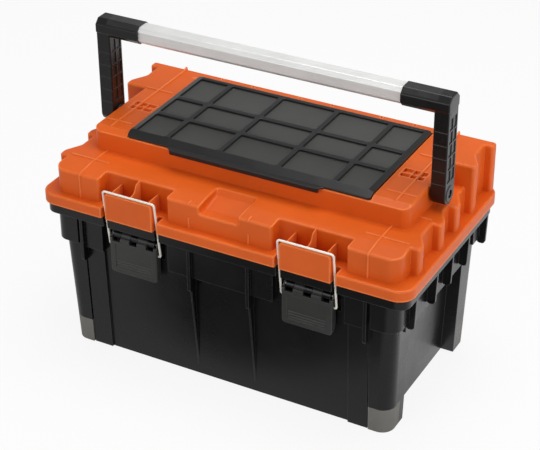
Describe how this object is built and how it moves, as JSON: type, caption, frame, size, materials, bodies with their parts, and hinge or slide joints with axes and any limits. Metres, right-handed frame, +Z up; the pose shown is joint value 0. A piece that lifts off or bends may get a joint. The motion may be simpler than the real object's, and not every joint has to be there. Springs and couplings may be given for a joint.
{
  "type": "toolbox with tray",
  "caption": "Moulded toolbox with hinged lid, covered top compartment, folding carry handle, draw latches and a lift-out tray.",
  "frame": {"origin": "middle of the footprint on the ground, under the middle of the bounding box", "axes": "+X along the length to the right of the front, +Y to the rear, away from the latches, +Z up"},
  "size_m": [0.533, 0.292, 0.431],
  "materials": {
    "black_plastic": "moulded black polypropylene, fine grain, satin",
    "orange_plastic": "moulded orange polypropylene, satin",
    "cover_plastic": "dark grey moulded cover, matt panels",
    "divider_plastic": "dark grey thin moulded plate",
    "guard_plastic": "mid grey moulded corner guard, matt",
    "lever_plastic": "dark grey moulded lever, satin",
    "aluminium_tube": "drawn and anodised, satin",
    "steel_wire": "bright zinc-plated wire",
    "steel_pin": "plain zinc-plated steel",
    "washer_plastic": "black nylon",
    "tray_plastic": "moulded black polypropylene, satin"
  },
  "bodies": {
    "tub": {"tub": "black_plastic", "corner_guard_front_left": "guard_plastic", "corner_guard_front_right": "guard_plastic", "corner_guard_rear_left": "guard_plastic", "corner_guard_rear_right": "guard_plastic", "latch_pin_left": "steel_pin", "latch_pin_right": "steel_pin", "hinge_rod_left": "steel_pin", "hinge_rod_right": "steel_pin"},
    "lid": {"lid_shell": "orange_plastic", "compartment_dividers": "divider_plastic", "handle_bolt_left": "steel_pin", "handle_bolt_right": "steel_pin", "handle_nut_left": "steel_pin", "handle_nut_right": "steel_pin", "handle_washer_left": "washer_plastic", "handle_washer_right": "washer_plastic", "cover_pin_left": "steel_pin", "cover_pin_right": "steel_pin"},
    "cover": {"compartment_cover": "cover_plastic"},
    "handle": {"handle_arm_left": "black_plastic", "handle_arm_right": "black_plastic", "handle_tube": "aluminium_tube", "grip_screw_left": "steel_pin", "grip_screw_right": "steel_pin"},
    "lever_left": {"latch_lever_left": "lever_plastic"},
    "lever_right": {"latch_lever_right": "lever_plastic"},
    "bail_left": {"latch_bail_left": "steel_wire"},
    "bail_right": {"latch_bail_right": "steel_wire"},
    "tray": {"tray": "tray_plastic", "tray_handle": "tray_plastic", "tray_divider_left": "divider_plastic", "tray_divider_right": "divider_plastic"}
  },
  "joints": [
    {"name": "lid_hinge", "type": "hinge", "parent": "tub", "child": "lid", "pos_m": [0, 0.1395, 0.214], "axis": [-1, 0, 0], "range_deg": [0, 100]},
    {"name": "cover_hinge", "type": "hinge", "parent": "lid", "child": "cover", "pos_m": [0, 0.1204, 0.3008], "axis": [-1, 0, 0], "range_deg": [0, 35]},
    {"name": "handle_fold", "type": "hinge", "parent": "lid", "child": "handle", "pos_m": [0, 0.003, 0.294], "axis": [1, 0, 0], "range_deg": [0, 90]},
    {"name": "lever_left_turn", "type": "hinge", "parent": "tub", "child": "lever_left", "pos_m": [-0.1272, -0.131, 0.192], "axis": [-1, 0, 0], "range_deg": [0, 110]},
    {"name": "lever_right_turn", "type": "hinge", "parent": "tub", "child": "lever_right", "pos_m": [0.1272, -0.131, 0.192], "axis": [-1, 0, 0], "range_deg": [0, 110]},
    {"name": "bail_left_turn", "type": "hinge", "parent": "lever_left", "child": "bail_left", "pos_m": [-0.1272, -0.133, 0.177], "axis": [1, 0, 0], "range_deg": [0, 260]},
    {"name": "bail_right_turn", "type": "hinge", "parent": "lever_right", "child": "bail_right", "pos_m": [0.1272, -0.133, 0.177], "axis": [1, 0, 0], "range_deg": [0, 260]},
    {"name": "tray_lift", "type": "slide", "parent": "tub", "child": "tray", "axis": [0, 0, 1], "range_m": [0, 0.18]}
  ],
  "couplings": [
    {"joint": "lever_left_turn", "follows": "lid_hinge", "ratio": 1.1},
    {"joint": "lever_right_turn", "follows": "lid_hinge", "ratio": 1.1},
    {"joint": "bail_left_turn", "follows": "lid_hinge", "ratio": 2.6},
    {"joint": "bail_right_turn", "follows": "lid_hinge", "ratio": 2.6},
    {"joint": "tray_lift", "follows": "lid_hinge", "m_per_rad": 0.10313}
  ]
}
